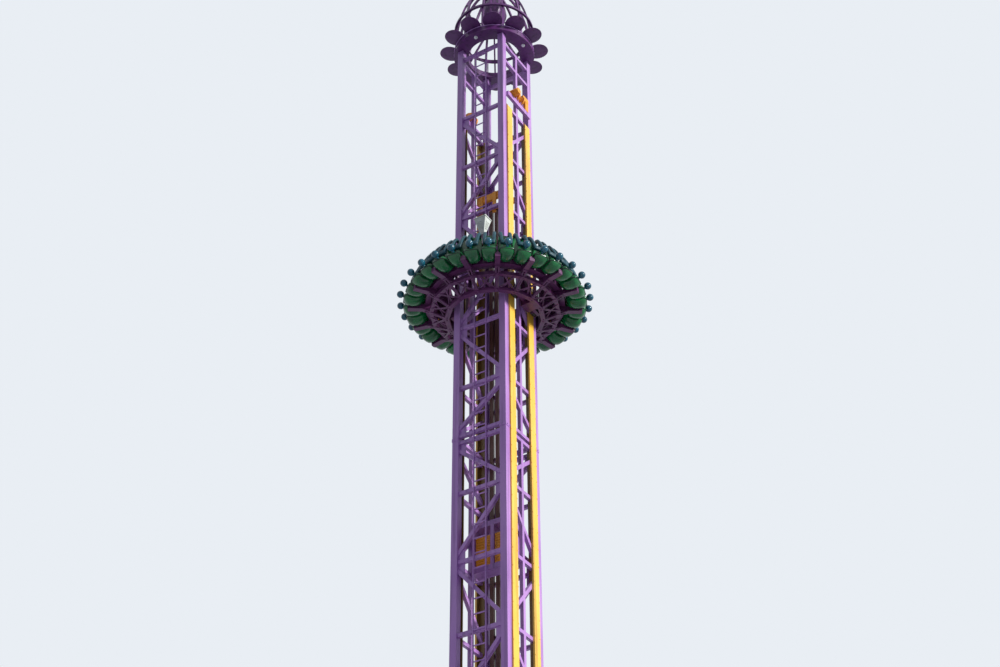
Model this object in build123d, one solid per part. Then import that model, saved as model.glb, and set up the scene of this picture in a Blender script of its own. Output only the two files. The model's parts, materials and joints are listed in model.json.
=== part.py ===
"""Drop tower ride, a 1:2 scale model: a lattice tower with a ring of seats that slides on its rails."""
import os
from math import cos, pi, radians, sin, sqrt, tan

from build123d import *

# Tower: four square columns, their sections joined by collars, braced with bars on all four faces
tower_width = 1000.0
column_side = 115.0
bar_side = 60.0
stringer_width = 60.0
gusset_width = 110.0
gusset_thickness = 12.0
diagonal_offset = 150.0
collar_proud = 6.0
collar_height = 60.0
foot_plate_side = 150.0

# Levels of the horizontals, from the ground up
foot_level = 240.0
first_level = 1100.0
regular_bay = 1204.0
short_bay = 925.0
joint_gap = 128.0
section_bays = (4, 5, 5)
head_bay = 1560.0
sheave_tie_drop = 422.0
column_rise = 228.0

# Base frame and its anchor holes
base_beam_width = 220.0
base_beam_height = 120.0
base_plate_thickness = 25.0
anchor_radius = 18.0
anchor_spacing = 400.0

# Guide rails on the two side faces
rail_width = 160.0
rail_proud = 25.0
rail_flange = 35.0
rail_web = 20.0
rail_web_depth = 90.0
rail_top_above_level = 38.0
rail_bevel = 70.0

# Ladder on the front face
ladder_left = -100.0
ladder_right = 120.0
stile_width = 14.0
stile_depth = 24.0
rung_side = 16.0
rung_pitch = 252.0
ladder_foot = 420.0

# Sheaves above the rails and the beam inside the tower
sheave_beam_height = 100.0
sheave_beam_rise = 220.0
sheave_beam_depth = 56.5
sheave_radius = 100.0
sheave_width = 30.0
sheave_spread = 75.0
sheave_lift = 115.0
cheek_thickness = 12.0
cheek_width = 70.0
axle_radius = 14.0
hoist_beam_half = 330.0
hoist_beam_side = 60.0
hoist_beam_height = 100.0
hoist_beam_level = 20250.0

# Cable ducts inside the back face
duct_width = 70.0
duct_depth = 50.0
duct_gap = 40.0
duct_left = -345.0

# Crown: ring, petals, guard rail, cage, and the core on its legs
ring_outer = 763.0
ring_inner = 500.0
ring_height = 125.0
petal_count = 12
petal_tip = 1037.0
petal_width = 370.0
petal_thickness = 18.0
petal_tilt = 6.5
petal_foot = 130.0
petal_foot_width = 60.0
petal_foot_inset = 18.0
guard_radius = 545.0
guard_height = 330.0
guard_bar = 22.0
guard_post_side = 18.0
guard_posts = 12
leg_count = 6
leg_foot_radius = 600.0
leg_head_radius = 85.0
leg_width = 30.0
leg_depth = 40.0
cage_radius = 743.0
cage_height = 1800.0
rib_count = 12
rib_side = 40.0
cage_hub = 70.0
cage_hub_height = 90.0
lower_hoop_height = 550.0
upper_hoop_height = 1190.0
hoop_side = 42.0
hoop_gap = 0.3
core_rise = 760.0
core_foot = 120.0
core_belly = 250.0
core_belly_share = 0.35
core_headroom = 190.0
core_tip = 60.0
finial_radius = 85.0
finial_height = 330.0
finial_sink = 18.0
spike_foot = 119.0
spike_radius = 34.0
spike_tip = 7.0

# Ride ring: its height at rest is where the centres of the pommels lie
ride_level = 17820.0
seat_count = 32
arm_count = 16
pommel_radius = 62.0
pommel_sink = 4.0
stem_radius = 24.0
stem_inset = 45.0
pan_inner = 1200.0
seat_depth = 360.0
pommel_reach = 53.0
pan_thickness = 57.0
pan_taper = 16.0
belly_drop = 95.0
belly_taper = 22.0
belly_gap = 8.0
belly_inset = 30.0
seat_gap = 24.0
front_round = 70.0
back_thickness = 65.0
back_height = 520.0
back_width = 218.0
back_lean = 45.0
back_round = 60.0

# Shoulder bars and chest pads
shoulder_spread = 78.0
shoulder_bar_side = 44.0
shoulder_top = 455.0
pad_inset = 115.0
pad_depth = 76.0
pad_width = 200.0
pad_bottom = 78.0
pad_height = 84.0

# Arms and rings under the seats
arm_width = 90.0
arm_height = 90.0
arm_reach = 165.0
arm_inset = 80.0
outer_ring_inset = 170.0
outer_ring_width = 65.0
outer_ring_height = 70.0
inner_ring_inner = 760.0
inner_ring_width = 80.0
inner_ring_height = 60.0
inner_ring_drop = 60.0
strut_width = 50.0
strut_foot = 60.0

# Chassis: a ring behind the seats with panels, a deck round the tower and crossed braces
back_ring_inset = 105.0
back_ring_width = 90.0
back_ring_height = 95.0
panel_thickness = 22.0
panel_inset = 51.0
panel_gap = 14.0
panel_height = 350.0
deck_inner = 765.0
deck_thickness = 30.0
deck_gap = 16.0
deck_post_depth = 35.0
deck_post_width = 60.0
brace_width = 26.0
brace_thickness = 20.0
brace_clearance = 10.0
brace_inset = 70.0

# Guide carriages that run on the rails
post_inner = 570.0
post_depth = 80.0
post_width = 220.0
post_rise = 900.0
post_drop = 400.0
lower_yoke_drop = 285.0
upper_yoke_rise = 760.0
yoke_depth = 60.0
yoke_height = 80.0
roller_radius = 40.0
roller_length = 100.0
roller_gap = 0.3
yoke_gap = 5.0
ear_thickness = 10.0

# Tapered housing on its post
housing_right = 400.0
housing_front = -945.0
housing_width = 230.0
housing_depth = 200.0
housing_height = 340.0
housing_taper = 13.0
housing_top = 1090.0
housing_post_side = 40.0

# Counterweight inside the tower
weight_level = 13080.0
weight_height = 850.0
weight_depth = 230.0
weight_clearance = 55.0
weight_beam = 90.0
weight_post = 65.0
shoe_width = 50.0
shoe_height = 110.0
shoe_gap = 0.3
block_height = 520.0
block_inset = 12.0

# Places worked out from the sizes above
half_tower = tower_width / 2
column_middle = half_tower - column_side / 2
column_inner = half_tower - column_side
front_plane = column_middle
rail_outer = half_tower + rail_proud
rail_spread = column_inner - rail_width / 2
side_outer = rail_outer - rail_flange
side_plane = side_outer - bar_side / 2
side_half_length = rail_spread - rail_web / 2
base_top = base_beam_height + base_plate_thickness
pan_outer = pan_inner + seat_depth
arm_inner = pan_inner - arm_reach
outer_ring_inner = pan_inner - outer_ring_inset
back_ring_inner = pan_inner - back_ring_inset
core_height = cage_height - core_rise - core_headroom
core_belly_height = core_belly_share * core_height
pommel_circle = pan_outer + pommel_reach
pad_middle = pan_outer - pad_inset
arm_outer = pan_outer - arm_inset
pan_top = ride_level - pommel_radius + pommel_sink
pan_bottom = pan_top - pan_thickness
arm_bottom = pan_bottom - arm_height
outer_ring_bottom = arm_bottom - outer_ring_height
inner_ring_top = outer_ring_bottom - inner_ring_drop
back_ring_top = pan_bottom + back_ring_height
deck_bottom = back_ring_top + panel_height
deck_top = deck_bottom + deck_thickness
arm_turn = 360 / arm_count / 2
seat_turn = 360 / seat_count / 2


def tower_sections():
    """Lists the horizontals of each bolted section, from the ground up."""
    sections = []
    level = first_level
    levels = [foot_level, first_level]
    for index, bays in enumerate(section_bays):
        for bay in range(bays):
            level += regular_bay
            levels.append(level)
        if index < len(section_bays) - 1:
            level += short_bay
            levels.append(level)
            sections.append(levels)
            level += joint_gap
            levels = [level]
            level += short_bay
            levels.append(level)
    sections.append(levels)
    return sections


sections = tower_sections()
upper_level = sections[-1][-1]
head_level = upper_level + head_bay
sheave_tie_level = head_level - sheave_tie_drop
column_top = head_level + column_rise
ring_top = column_top + ring_height
joint_levels = [section[-1] + joint_gap / 2 for section in sections[:-1]]
rail_top = upper_level + rail_top_above_level


def block(low, high):
    """Makes a box between two corners."""
    size = [high[i] - low[i] for i in range(3)]
    middle = [(high[i] + low[i]) / 2 for i in range(3)]
    return Pos(*middle) * Box(*size)


def around(piece, count, start=0.0):
    """Copies a piece round the tower's axis."""
    return [Rot(0, 0, start + 360 * i / count) * piece for i in range(count)]


def write(name, *pieces):
    """Writes one node, of one or more solids that don't touch."""
    solids = [solid for piece in pieces for solid in piece.solids()]
    shape = solids[0] if len(solids) == 1 else Compound(solids)
    export_step(shape, os.path.join("parts", name + ".step"))


def columns():
    """Splits each column at its joints, with a collar between the sections."""
    half_plate = collar_height / 2
    starts = [base_top] + [level + half_plate for level in joint_levels]
    ends = [level - half_plate for level in joint_levels] + [column_top]
    names = {"column_front_right": (1, -1), "column_front_left": (-1, -1),
             "column_back_right": (1, 1), "column_back_left": (-1, 1)}
    collars = []
    feet = []
    for name, (side_x, side_y) in names.items():
        x = side_x * column_middle
        y = side_y * column_middle
        lengths = [Pos(x, y, (low + high) / 2) * Box(column_side, column_side, high - low)
                   for low, high in zip(starts, ends)]
        write(name, *lengths)
        collar_side = column_side + collar_proud
        collar_middle = column_inner + collar_side / 2
        collars += [Pos(side_x * collar_middle, side_y * collar_middle, level)
                    * Box(collar_side, collar_side, collar_height) for level in joint_levels]
        foot_middle = column_inner + foot_plate_side / 2
        feet.append(Pos(side_x * foot_middle, side_y * foot_middle, base_beam_height + base_plate_thickness / 2)
                    * Box(foot_plate_side, foot_plate_side, base_plate_thickness))
    write("section_collars", *collars)
    write("base_plates", *feet)


def lattice_sketch(levels, top_down_index, half_length):
    """Draws one section of a face: its horizontals, and one diagonal in each bay, zigzag fashion."""
    length = 2 * half_length
    face = Sketch()
    for level in levels:
        face += Pos(0, level) * Rectangle(length, bar_side)
    reach = column_inner
    for index in range(len(levels) - 1):
        low = levels[index] + diagonal_offset
        high = levels[index + 1] - diagonal_offset
        foot_side = 1 if (top_down_index - index) % 2 == 0 else -1
        run = Vector(-2 * reach * foot_side, high - low)
        turn = Vector(1, 0).get_signed_angle(run, Vector(0, 0, 1))
        diagonal = Pos(0, (low + high) / 2) * Rot(0, 0, turn) * Rectangle(run.length + bar_side, bar_side)
        face += diagonal & Pos(0, (low + high) / 2) * Rectangle(length, high - low + 4 * bar_side)
    return face


def gusset_sketch(levels, top_down_index):
    """Draws the plates that tie each diagonal's ends to the horizontals beside a column."""
    face = Sketch()
    for index in range(len(levels) - 1):
        foot_side = 1 if (top_down_index - index) % 2 == 0 else -1
        height = diagonal_offset + bar_side
        edge = column_inner - gusset_width / 2
        face += Pos(edge * foot_side, levels[index] + height / 2) * Rectangle(gusset_width, height)
        face += Pos(-edge * foot_side, levels[index + 1] - height / 2) * Rectangle(gusset_width, height)
    return face


def lattice_face(plane, half_length, extra_levels, stringer):
    """Makes a whole face of the lattice, one solid for each bolted section and each loose tie."""
    bays_above = sum(len(section) - 1 for section in sections)
    pieces = []
    ties = list(extra_levels)
    for section in sections:
        index = bays_above - 1
        bays_above -= len(section) - 1
        bars = lattice_sketch(section, index, half_length)
        if stringer:
            low = section[0] - bar_side / 2
            high = section[-1] + bar_side / 2
            if section is sections[-1]:
                high = head_level + bar_side / 2
                for level in ties:
                    bars += Pos(0, level) * Rectangle(2 * column_inner, bar_side)
                ties = []
            bars += Pos(0, (low + high) / 2) * Rectangle(stringer_width, high - low)
        solid = extrude(plane * bars, amount=bar_side / 2, both=True)
        if not stringer:
            solid += extrude(plane * gusset_sketch(section, index), amount=gusset_thickness / 2, both=True)
        pieces.append(solid)
    for level in ties:
        pieces.append(extrude(plane * (Pos(0, level) * Rectangle(2 * column_inner, bar_side)),
                              amount=bar_side / 2, both=True))
    return pieces


def lattice():
    """Writes the four faces: each is braced as the mirror image of the faces beside it."""
    front = Plane(origin=(0, -front_plane, 0), x_dir=(1, 0, 0), z_dir=(0, -1, 0))
    right = Plane(origin=(side_plane, 0, 0), x_dir=(0, -1, 0), z_dir=(-1, 0, 0))
    front_pieces = lattice_face(front, column_inner, [head_level], False)
    right_pieces = lattice_face(right, side_half_length, [head_level, sheave_tie_level], True)
    half_turn = Rot(0, 0, 180)
    write("lattice_front", *front_pieces)
    write("lattice_back", *[half_turn * piece for piece in front_pieces])
    write("lattice_right", *right_pieces)
    write("lattice_left", *[half_turn * piece for piece in right_pieces])


def base_frame():
    """Makes the base: a square of beams under the columns and a cross through the middle."""
    outer = 2 * column_middle + base_beam_width
    inner = 2 * column_middle - base_beam_width
    plan = Rectangle(outer, outer) - Rectangle(inner, inner)
    plan += Rectangle(outer, base_beam_width) + Rectangle(base_beam_width, outer)
    for x in (-anchor_spacing / 2, anchor_spacing / 2):
        for y in (-column_middle, column_middle):
            plan -= Pos(x, y) * Circle(anchor_radius)
    write("base_frame", extrude(plan, amount=base_beam_height))


def rails():
    """Makes the four guide rails, each a flange on a web, with a bevelled top."""
    profile = Polyline((0, base_beam_height), (rail_flange, base_beam_height), (rail_flange, rail_top - rail_bevel),
                       (0, rail_top), close=True)
    rail = extrude(Plane.XZ * make_face(profile), amount=rail_width / 2, both=True)
    rail += block((-rail_web_depth, -rail_web / 2, base_beam_height), (0, rail_web / 2, rail_top))
    for side, turn in (("right", 0), ("left", 180)):
        for end, sign in (("front", -1), ("back", 1)):
            y = sign * rail_spread if turn == 0 else -sign * rail_spread
            write(f"rail_{side}_{end}", Rot(0, 0, turn) * Pos(side_outer, y, 0) * rail)


def ladder():
    """Makes the ladder that stands against the front face's horizontals."""
    back = -front_plane - bar_side / 2
    front = back - stile_depth
    pieces = []
    for x in (ladder_left, ladder_right):
        pieces.append(block((x - stile_width / 2, front, ladder_foot),
                            (x + stile_width / 2, back, head_level)))
    shape = pieces[0] + pieces[1]
    middle = (back + front) / 2
    level = ladder_foot + rung_pitch
    rungs = []
    while level < head_level - rung_side:
        rungs.append(block((ladder_left, middle - rung_side / 2, level - rung_side / 2),
                           (ladder_right, middle + rung_side / 2, level + rung_side / 2)))
        level += rung_pitch
    write("ladder", shape.fuse(*rungs))


def sheaves():
    """Makes the beam above each pair of rails, with two sheaves between cheeks on it."""
    level = upper_level + sheave_beam_rise
    outer = side_outer + sheave_beam_depth
    top = level + sheave_beam_height
    x = (side_outer + outer) / 2
    axle_level = top + sheave_lift
    beam = block((side_outer, -column_inner, level), (outer, column_inner, top))
    wheels = []
    for y in (-sheave_spread, sheave_spread):
        for side in (-1, 1):
            cheek_y = y + side * (sheave_width / 2 + cheek_thickness)
            low = min(cheek_y, cheek_y + side * cheek_thickness)
            beam += block((x - cheek_width / 2, low, top - cheek_thickness),
                          (x + cheek_width / 2, low + cheek_thickness, axle_level + cheek_width / 2)) \
                - block((x - cheek_width, low, level), (side_outer, low + cheek_thickness, top))
        turned = Pos(x, y, axle_level) * Rot(90, 0, 0)
        wheels.append(turned * Cylinder(sheave_radius, sheave_width)
                      + turned * Cylinder(axle_radius, sheave_width + 2 * cheek_thickness))
    half_turn = Rot(0, 0, 180)
    write("sheave_beam_right", beam)
    write("sheave_beam_left", half_turn * beam)
    write("sheaves", *wheels, *[half_turn * wheel for wheel in wheels])


def hoist_beam():
    """Makes the beam inside the tower and the cable ducts under it, against the back face's bracing."""
    back = front_plane - bar_side / 2
    front = back - hoist_beam_side
    write("hoist_beam", block((-hoist_beam_half, front, hoist_beam_level),
                              (hoist_beam_half, back, hoist_beam_level + hoist_beam_height)))
    ducts = []
    for left in (duct_left, duct_left + duct_width + duct_gap):
        ducts.append(block((left, back - duct_depth, base_beam_height),
                           (left + duct_width, back, hoist_beam_level)))
    write("cable_ducts", *ducts)


def crown():
    """Makes the ring on the columns, with its petals, guard rail, cage, finial, and the core on its legs."""
    ring = Pos(0, 0, column_top) * extrude(Circle(ring_outer) - Circle(ring_inner), amount=ring_height)
    write("head_ring", ring)

    root = ring_outer - petal_foot
    length = (petal_tip - root) / cos(radians(petal_tilt))
    outline = Pos(length / 2, 0) * Ellipse(length / 2, petal_width / 2)
    leaf = Rot(0, -petal_tilt, 0) * extrude(outline, amount=petal_thickness)
    foot_rise = petal_foot * sin(radians(petal_tilt))
    foot = block((petal_foot_inset, -petal_foot_width / 2, 0), (petal_foot, petal_foot_width / 2, foot_rise))
    petal = Pos(root, 0, ring_top) * (leaf + foot)
    write("petals", *around(petal, petal_count))

    hoop = Pos(0, 0, ring_top + guard_height - guard_bar) * extrude(
        Circle(guard_radius + guard_bar / 2) - Circle(guard_radius - guard_bar / 2), amount=guard_bar)
    post_height = guard_height - guard_bar / 2
    post = Box(guard_post_side, guard_post_side, post_height)
    post = Pos(guard_radius, 0, ring_top + post_height / 2) * post
    write("guard_rail", hoop.fuse(*around(post, guard_posts, 180 / guard_posts)))

    core_bottom = ring_top + core_rise
    half = leg_depth / 2
    profile = Polyline((leg_foot_radius - half, ring_top), (leg_foot_radius + half, ring_top),
                       (leg_head_radius + half, core_bottom), (leg_head_radius - half, core_bottom), close=True)
    leg = extrude(Plane.XZ * make_face(profile), amount=leg_width / 2, both=True)
    write("core_legs", *around(leg, leg_count))

    half = rib_side / 2
    band = Ellipse(cage_radius + half, cage_height + half) - Ellipse(cage_radius - half, cage_height - half)
    band &= Pos(cage_hub / 2 + cage_radius, cage_height) * Rectangle(2 * cage_radius, 2 * cage_height)
    rib = extrude(Plane.XZ * band, amount=half, both=True)
    hub = Pos(0, 0, cage_height + half - cage_hub_height / 2) * Cylinder(cage_hub, cage_hub_height)
    write("cage_ribs", Pos(0, 0, ring_top) * hub.fuse(*around(rib, rib_count, 180 / rib_count)))

    squeeze = sqrt(1 - (lower_hoop_height / (cage_height + half)) ** 2)
    inner = (cage_radius + half) * squeeze + hoop_gap
    lower = extrude(Circle(inner + hoop_side) - Circle(inner), amount=hoop_side)
    squeeze = sqrt(1 - ((upper_hoop_height + hoop_side) / (cage_height - half)) ** 2)
    outer = (cage_radius - half) * squeeze - hoop_gap
    upper = extrude(Circle(outer) - Circle(outer - hoop_side), amount=hoop_side)
    write("cage_hoops", Pos(0, 0, ring_top + lower_hoop_height) * lower,
          Pos(0, 0, ring_top + upper_hoop_height) * upper)

    belly = ThreePointArc((core_foot, 0), (core_belly, core_belly_height), (core_tip, core_height))
    outline = belly + Polyline((core_tip, core_height), (0, core_height), (0, 0), (core_foot, 0))
    core = revolve(Plane.XZ * make_face(outline), axis=Axis.Z)
    write("crown_core", Pos(0, 0, core_bottom) * core)

    ball = Pos(0, 0, finial_radius - finial_sink) * Sphere(finial_radius)
    spike_height = finial_height - spike_foot
    spike = Pos(0, 0, spike_foot + spike_height / 2) * Cone(spike_radius, spike_tip, spike_height)
    above = Pos(0, 0, finial_height) * Box(4 * finial_radius, 4 * finial_radius, 2 * finial_height)
    write("finial", Pos(0, 0, ring_top + cage_height + half) * ((ball + spike) & above))


def ride_rings():
    """Makes the two rings round the tower, the struts between them and the arms under the seats."""
    def ring(inner, width, height, bottom):
        plan = RegularPolygon(inner + width, arm_count, major_radius=False, rotation=arm_turn)
        plan -= RegularPolygon(inner, arm_count, major_radius=False, rotation=arm_turn)
        return Pos(0, 0, bottom) * extrude(plan, amount=height)

    write("outer_ring", ring(outer_ring_inner, outer_ring_width, outer_ring_height, outer_ring_bottom))
    write("inner_ring", ring(inner_ring_inner, inner_ring_width, inner_ring_height,
                             inner_ring_top - inner_ring_height))
    corner = cos(radians(arm_turn))
    low = (inner_ring_inner + inner_ring_width / 2) / corner
    high = (outer_ring_inner + outer_ring_width / 2) / corner
    half = strut_foot / 2
    profile = Polyline((low - half, inner_ring_top), (low + half, inner_ring_top),
                       (high + half, outer_ring_bottom), (high - half, outer_ring_bottom), close=True)
    strut = extrude(Plane.XZ * make_face(profile), amount=strut_width / 2, both=True)
    write("ring_struts", *around(strut, arm_count, arm_turn))
    arm = block((arm_inner, -arm_width / 2, arm_bottom), (arm_outer, arm_width / 2, pan_bottom))
    write("seat_arms", *around(arm, arm_count, arm_turn))


def chassis():
    """Makes the ring behind the seats, its panels, the deck on them and the crossed braces under it."""
    back_ring_outer = back_ring_inner + back_ring_width
    plan = RegularPolygon(back_ring_outer, seat_count, major_radius=False)
    plan -= RegularPolygon(back_ring_inner, seat_count, major_radius=False)
    write("back_ring", Pos(0, 0, pan_bottom) * extrude(plan, amount=back_ring_height))

    panel_outer = back_ring_outer - panel_inset
    panel_inner = panel_outer - panel_thickness
    half_width = panel_inner * tan(radians(seat_turn)) - panel_gap / 2
    panel = block((panel_inner, -half_width, back_ring_top), (panel_outer, half_width, deck_bottom))
    write("back_panels", *around(panel, seat_count, seat_turn))

    narrow = deck_inner * tan(radians(arm_turn)) - deck_gap / 2
    wide = panel_outer * tan(radians(arm_turn)) - deck_gap / 2
    plan = make_face(Polyline((deck_inner, -narrow), (panel_outer, -wide), (panel_outer, wide),
                              (deck_inner, narrow), close=True))
    write("deck_plates", *around(Pos(0, 0, deck_bottom) * extrude(plan, amount=deck_thickness), arm_count))
    post = block((deck_inner, -deck_post_width / 2, inner_ring_top),
                 (deck_inner + deck_post_depth, deck_post_width / 2, deck_bottom))
    write("deck_posts", *around(post, arm_count))

    low = deck_inner + deck_post_depth + brace_clearance + brace_thickness
    high = outer_ring_inner + outer_ring_width / 2
    reach = low * tan(radians(arm_turn)) - strut_width / 2 - brace_inset
    foot = Vector(low, 0, inner_ring_top)
    slope = Vector(high, 0, outer_ring_bottom) - foot
    plane = Plane(origin=foot + slope / 2, x_dir=slope, z_dir=slope.cross(Vector(0, 1, 0)))
    run = Vector(slope.length, 2 * reach)
    turn = Vector(1, 0).get_signed_angle(run, Vector(0, 0, 1))
    cross = Rot(0, 0, turn) * Rectangle(2 * run.length, brace_width)
    cross += Rot(0, 0, -turn) * Rectangle(2 * run.length, brace_width)
    brace = extrude(plane * cross, amount=brace_thickness / 2, both=True)
    brace &= block((0, -high, inner_ring_top), (2 * high, high, outer_ring_bottom))
    write("ring_braces", *around(brace, arm_count))


def seats():
    """Makes the seat pans, backs, pommels, shoulder bars and chest pads."""
    half_pitch = pi / seat_count
    narrow = pan_inner * half_pitch - seat_gap / 2
    wide = pan_outer * half_pitch - seat_gap / 2
    plan = make_face(Polyline((pan_inner, -narrow), (pan_outer, -wide), (pan_outer, wide), (pan_inner, narrow),
                              close=True))
    plan = fillet(plan.vertices().sort_by(Axis.X)[-2:], front_round)
    pan = Pos(0, 0, pan_top) * extrude(plan, amount=-pan_thickness, taper=pan_taper)
    lean = radians(seat_turn)
    beside_arm = arm_width / 2 / cos(lean) + belly_gap
    belly_inner = pan_inner + belly_inset
    belly_outer = pan_outer - belly_inset
    narrow = belly_inner * tan(lean) - beside_arm
    wide = belly_outer * tan(lean) - beside_arm
    plan = make_face(Polyline((belly_inner, -narrow), (belly_outer, -wide), (belly_outer, wide),
                              (belly_inner, narrow), close=True))
    plan = fillet(plan.vertices().sort_by(Axis.X)[-2:], front_round)
    pan += Pos(0, 0, pan_bottom) * extrude(plan, amount=-belly_drop, taper=belly_taper)
    write("seat_pans", *around(pan, seat_count, seat_turn))

    side = Polyline((pan_inner, pan_top), (pan_inner + back_thickness, pan_top),
                    (pan_inner + back_thickness - back_lean, pan_top + back_height),
                    (pan_inner - back_lean, pan_top + back_height), close=True)
    back = extrude(Plane.XZ * make_face(side), amount=back_width / 2, both=True)
    top_corners = back.edges().filter_by(GeomType.LINE).filter_by(
        lambda e: abs(e.center().Y) > back_width / 2 - 1 and e.center().Z > pan_top + back_height - 1)
    back = fillet(top_corners, back_round)
    write("seat_backs", *around(back, seat_count, seat_turn))

    ball = Pos(pommel_circle, 0, ride_level) * Sphere(pommel_radius)
    stem_foot = Vector(pan_outer - stem_inset, 0, pan_top)
    stem_head = Vector(pommel_circle, 0, ride_level)
    run = stem_head - stem_foot
    stem = Plane(origin=stem_foot - run, z_dir=run) * extrude(Circle(stem_radius), amount=2 * run.length)
    stem &= block((pan_inner, -2 * stem_radius, pan_top),
                  (pommel_circle, 2 * stem_radius, ride_level + pommel_radius))
    write("pommels", *around(ball + stem, seat_count, seat_turn))

    pad_low = ride_level + pad_bottom
    pad_top = pad_low + pad_height
    pad = block((pad_middle - pad_depth / 2, -pad_width / 2, pad_low),
                (pad_middle + pad_depth / 2, pad_width / 2, pad_top))
    write("chest_pads", *around(pad, seat_count, seat_turn))

    height = ride_level + shoulder_top - pan_top
    back_face = pan_inner + back_thickness - back_lean * height / back_height
    bar_top = ride_level + shoulder_top
    slope = back_lean / back_height * shoulder_bar_side
    shape = Polyline((back_face, bar_top), (back_face + slope, bar_top - shoulder_bar_side),
                     (pad_middle - shoulder_bar_side / 2, pad_top), (pad_middle + shoulder_bar_side / 2, pad_top),
                     close=True)
    bar = extrude(Plane.XZ * make_face(shape), amount=shoulder_bar_side / 2, both=True)
    bars = [Pos(0, y, 0) * bar for y in (-shoulder_spread, shoulder_spread)]
    write("shoulder_bars", *[copy for bar in bars for copy in around(bar, seat_count, seat_turn)])


def carriages():
    """Makes the guide carriage on each side: a post between the rails, and yokes with rollers on the rails."""
    post_outer = post_inner + post_depth
    half_width = post_width / 2
    post = block((post_inner, -half_width, ride_level - post_drop),
                 (post_outer, half_width, ride_level + post_rise))
    bracket = block((post_outer, -half_width, inner_ring_top - inner_ring_height),
                    (inner_ring_inner, half_width, inner_ring_top))
    roller_x = rail_outer + roller_gap + roller_radius
    yoke_inner = roller_x + roller_radius + yoke_gap
    yokes = []
    rollers = []
    for z in (ride_level - lower_yoke_drop, ride_level + upper_yoke_rise):
        for side in (-1, 1):
            near = side * half_width
            far = side * (rail_spread + roller_length / 2 + ear_thickness)
            yoke = block((yoke_inner, min(near, far), z - yoke_height / 2),
                         (yoke_inner + yoke_depth, max(near, far), z + yoke_height / 2))
            for edge in (-1, 1):
                start = side * rail_spread + edge * roller_length / 2
                stop = start + edge * ear_thickness
                yoke += block((roller_x - roller_radius / 2, min(start, stop), z - yoke_height / 2),
                              (yoke_inner, max(start, stop), z + yoke_height / 2))
            yokes.append(yoke)
            rollers.append(Pos(roller_x, side * rail_spread, z) * Rot(90, 0, 0)
                           * Cylinder(roller_radius, roller_length))
    half_turn = Rot(0, 0, 180)
    write("carriage_posts", post, half_turn * post)
    write("carriage_brackets", bracket, half_turn * bracket)
    write("roller_yokes", *yokes, *[half_turn * yoke for yoke in yokes])
    write("rollers", *rollers, *[half_turn * roller for roller in rollers])


def housing():
    """Makes the housing in front of the tower, narrower downwards, and the post that carries it on the deck."""
    x = housing_right - housing_width / 2
    y = housing_front + housing_depth / 2
    top = ride_level + housing_top
    bottom = top - housing_height
    half = housing_post_side / 2
    write("housing_post", block((x - half, y - half, deck_top), (x + half, y + half, bottom)))
    shell = extrude(Rectangle(housing_width, housing_depth), amount=-housing_height, taper=housing_taper)
    write("post_housing", Pos(x, y, top) * shell)


def counterweight():
    """Makes the counterweight: a frame with shoes that run on the side faces' stringers, and its blocks."""
    runway = side_plane - bar_side / 2
    half_width = runway - weight_clearance
    half_depth = weight_depth / 2
    low = weight_level - weight_height / 2
    high = weight_level + weight_height / 2
    frame = block((-half_width, -half_depth, low), (half_width, half_depth, low + weight_beam))
    frame += block((-half_width, -half_depth, high - weight_beam), (half_width, half_depth, high))
    for x in (-half_width + weight_post / 2, 0, half_width - weight_post / 2):
        frame += block((x - weight_post / 2, -half_depth, low), (x + weight_post / 2, half_depth, high))
    shoe_reach = runway - shoe_gap
    for shoe_low in (low, high - shoe_height):
        frame += block((-shoe_reach, -shoe_width / 2, shoe_low),
                       (-half_width, shoe_width / 2, shoe_low + shoe_height))
        frame += block((half_width, -shoe_width / 2, shoe_low),
                       (shoe_reach, shoe_width / 2, shoe_low + shoe_height))
    write("counterweight_frame", frame)
    blocks = []
    for side in (-1, 1):
        near = side * weight_post / 2
        far = side * (half_width - weight_post)
        blocks.append(block((min(near, far), block_inset - half_depth, low + weight_beam),
                            (max(near, far), half_depth - block_inset, low + weight_beam + block_height)))
    write("counterweight_blocks", *blocks)


os.makedirs("parts", exist_ok=True)
columns()
lattice()
base_frame()
rails()
ladder()
sheaves()
hoist_beam()
crown()
ride_rings()
chassis()
seats()
carriages()
housing()
counterweight()
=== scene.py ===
import json
from math import copysign, cos, pi, radians, sin, tan

import bmesh
import bpy
from mathutils import Matrix, Vector


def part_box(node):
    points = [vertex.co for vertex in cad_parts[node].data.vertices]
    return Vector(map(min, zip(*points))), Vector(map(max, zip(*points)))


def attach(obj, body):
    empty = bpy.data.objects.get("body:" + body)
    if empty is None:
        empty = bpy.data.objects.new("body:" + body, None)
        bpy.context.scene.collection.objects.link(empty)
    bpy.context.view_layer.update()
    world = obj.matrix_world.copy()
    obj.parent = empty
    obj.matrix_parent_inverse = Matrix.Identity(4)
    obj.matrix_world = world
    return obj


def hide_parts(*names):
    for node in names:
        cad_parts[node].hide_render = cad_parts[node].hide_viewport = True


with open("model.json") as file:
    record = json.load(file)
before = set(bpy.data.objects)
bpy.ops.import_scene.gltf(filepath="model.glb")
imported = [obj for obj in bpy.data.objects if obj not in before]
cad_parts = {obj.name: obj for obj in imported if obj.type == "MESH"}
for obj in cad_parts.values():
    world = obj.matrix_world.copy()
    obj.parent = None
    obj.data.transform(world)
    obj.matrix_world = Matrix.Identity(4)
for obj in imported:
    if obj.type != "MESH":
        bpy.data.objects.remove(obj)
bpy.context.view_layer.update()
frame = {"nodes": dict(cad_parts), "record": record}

nodes = frame["nodes"]
scene = bpy.context.scene
scene.view_settings.view_transform = "Standard"
print("frame loaded:", len(nodes), "nodes")


# colours are written as they look on screen and turned linear here
def fromHex(text):
    channels = [int(text[i:i + 2], 16) / 255 for i in (1, 3, 5)]
    linear = [c / 12.92 if c <= 0.04045 else ((c + 0.055) / 1.055) ** 2.4 for c in channels]
    return (*linear, 1.0)


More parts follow.
